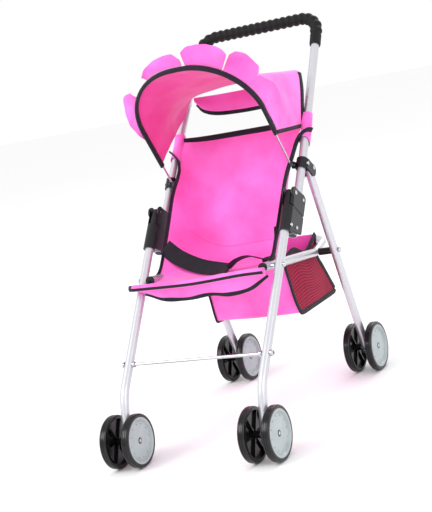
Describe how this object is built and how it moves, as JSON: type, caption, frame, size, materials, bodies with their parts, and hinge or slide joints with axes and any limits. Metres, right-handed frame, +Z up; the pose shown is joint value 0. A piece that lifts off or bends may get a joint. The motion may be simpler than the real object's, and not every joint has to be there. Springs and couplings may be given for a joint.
{
  "type": "doll stroller",
  "caption": "Folding toy umbrella stroller with paired wheels, sling seat, waist strap, hooped canopy with frill, mesh basket and a foam-covered U handle.",
  "frame": {"origin": "on the floor, under the middle of the stroller's length and width", "axes": "+Z up, the child faces -Y, +X is the child's left"},
  "size_m": [0.2672, 0.5116, 0.5549],
  "materials": {
    "tyre_plastic": "glossy moulded black",
    "hub_plastic": "satin light grey moulding",
    "tube_metal": "metallic silver powder coat",
    "axle_metal": "bright plated steel",
    "wire_metal": "bright plated wire",
    "black_plastic": "satin moulded black",
    "grip_foam": "soft foam, matt",
    "pink_fabric": "woven hot pink",
    "mesh_fabric": "fine knitted mesh",
    "webbing": "ribbed black webbing"
  },
  "bodies": {
    "frame": {"front_leg_left": "tube_metal", "front_leg_right": "tube_metal", "front_cross_rod": "axle_metal", "cross_rod_fasteners": "axle_metal", "front_axle_left": "axle_metal", "front_axle_right": "axle_metal", "front_axle_caps": "axle_metal", "knuckle_housing_left": "black_plastic", "knuckle_housing_right": "black_plastic", "housing_rivets": "axle_metal", "hinge_pins": "axle_metal", "seat_pivot_bolts": "axle_metal"},
    "handle": {"handle_tube": "tube_metal", "handle_grip": "grip_foam", "knuckle_cap_left": "black_plastic", "knuckle_cap_right": "black_plastic", "leg_bracket_left": "black_plastic", "leg_bracket_right": "black_plastic", "bracket_rivets": "axle_metal", "leg_pivot_pins": "axle_metal", "backrest": "pink_fabric"},
    "lock_left": {"lock_button_left": "black_plastic"},
    "lock_right": {"lock_button_right": "black_plastic"},
    "rear_legs": {"rear_leg_left": "tube_metal", "rear_leg_right": "tube_metal", "rear_axle_left": "axle_metal", "rear_axle_right": "axle_metal", "rear_axle_caps": "axle_metal", "rear_spacers": "black_plastic", "rear_pivot_bolts": "axle_metal"},
    "seat_frame": {"seat_tube": "tube_metal", "seat_front_rod": "axle_metal", "seat_plugs": "black_plastic", "seat_rivets": "axle_metal", "seat_pad": "pink_fabric", "backrest_lower": "pink_fabric", "waist_strap_left": "webbing", "waist_strap_right": "webbing", "strap_buckle": "black_plastic", "basket": "mesh_fabric"},
    "canopy_frame": {"canopy_hoop": "wire_metal", "canopy": "pink_fabric", "canopy_ruffle": "pink_fabric"},
    "wheel_front_left_inner": {"tyre_front_left_inner": "tyre_plastic", "hub_cap_front_left_inner": "hub_plastic"},
    "wheel_front_left_outer": {"tyre_front_left_outer": "tyre_plastic", "hub_cap_front_left_outer": "hub_plastic"},
    "wheel_front_right_inner": {"tyre_front_right_inner": "tyre_plastic", "hub_cap_front_right_inner": "hub_plastic"},
    "wheel_front_right_outer": {"tyre_front_right_outer": "tyre_plastic", "hub_cap_front_right_outer": "hub_plastic"},
    "wheel_rear_left_inner": {"tyre_rear_left_inner": "tyre_plastic", "hub_cap_rear_left_inner": "hub_plastic"},
    "wheel_rear_left_outer": {"tyre_rear_left_outer": "tyre_plastic", "hub_cap_rear_left_outer": "hub_plastic"},
    "wheel_rear_right_inner": {"tyre_rear_right_inner": "tyre_plastic", "hub_cap_rear_right_inner": "hub_plastic"},
    "wheel_rear_right_outer": {"tyre_rear_right_outer": "tyre_plastic", "hub_cap_rear_right_outer": "hub_plastic"}
  },
  "joints": [
    {"name": "fold", "type": "hinge", "parent": "frame", "child": "handle", "pos_m": [0, -0.00075, 0.3145], "axis": [1, 0, 0], "range_deg": [0, 132], "deforming": ["canopy_ruffle"]},
    {"name": "rear_leg_fold", "type": "hinge", "parent": "handle", "child": "rear_legs", "pos_m": [0, 0.07805, 0.3353], "axis": [1, 0, 0], "range_deg": [-56, 0]},
    {"name": "seat_fold", "type": "hinge", "parent": "frame", "child": "seat_frame", "pos_m": [0, -0.07834, 0.2304], "axis": [1, 0, 0], "range_deg": [0, 49.5], "deforming": ["backrest_lower"]},
    {"name": "canopy_swing", "type": "hinge", "parent": "handle", "child": "canopy_frame", "pos_m": [0, 0.04783, 0.34724], "axis": [1, 0, 0], "range_deg": [-60, 10], "deforming": ["canopy"]},
    {"name": "lock_left", "type": "slide", "parent": "handle", "child": "lock_left", "axis": [0, 0.6782, 0.7349], "range_m": [0, 0.005], "stiffness_N_per_m": 200},
    {"name": "lock_right", "type": "slide", "parent": "handle", "child": "lock_right", "axis": [0, 0.6782, 0.7349], "range_m": [0, 0.005], "stiffness_N_per_m": 200},
    {"name": "spin_front_left_inner", "type": "hinge", "parent": "frame", "child": "wheel_front_left_inner", "pos_m": [0, -0.21835, 0.0375], "axis": [1, 0, 0], "continuous": true},
    {"name": "spin_front_left_outer", "type": "hinge", "parent": "frame", "child": "wheel_front_left_outer", "pos_m": [0, -0.21835, 0.0375], "axis": [1, 0, 0], "continuous": true},
    {"name": "spin_front_right_inner", "type": "hinge", "parent": "frame", "child": "wheel_front_right_inner", "pos_m": [0, -0.21835, 0.0375], "axis": [1, 0, 0], "continuous": true},
    {"name": "spin_front_right_outer", "type": "hinge", "parent": "frame", "child": "wheel_front_right_outer", "pos_m": [0, -0.21835, 0.0375], "axis": [1, 0, 0], "continuous": true},
    {"name": "spin_rear_left_inner", "type": "hinge", "parent": "rear_legs", "child": "wheel_rear_left_inner", "pos_m": [0, 0.15815, 0.0375], "axis": [1, 0, 0], "continuous": true},
    {"name": "spin_rear_left_outer", "type": "hinge", "parent": "rear_legs", "child": "wheel_rear_left_outer", "pos_m": [0, 0.15815, 0.0375], "axis": [1, 0, 0], "continuous": true},
    {"name": "spin_rear_right_inner", "type": "hinge", "parent": "rear_legs", "child": "wheel_rear_right_inner", "pos_m": [0, 0.15815, 0.0375], "axis": [1, 0, 0], "continuous": true},
    {"name": "spin_rear_right_outer", "type": "hinge", "parent": "rear_legs", "child": "wheel_rear_right_outer", "pos_m": [0, 0.15815, 0.0375], "axis": [1, 0, 0], "continuous": true}
  ],
  "couplings": [
    {"joint": "rear_leg_fold", "follows": "fold", "ratio": -0.42424},
    {"joint": "seat_fold", "follows": "fold", "ratio": 0.375}
  ]
}
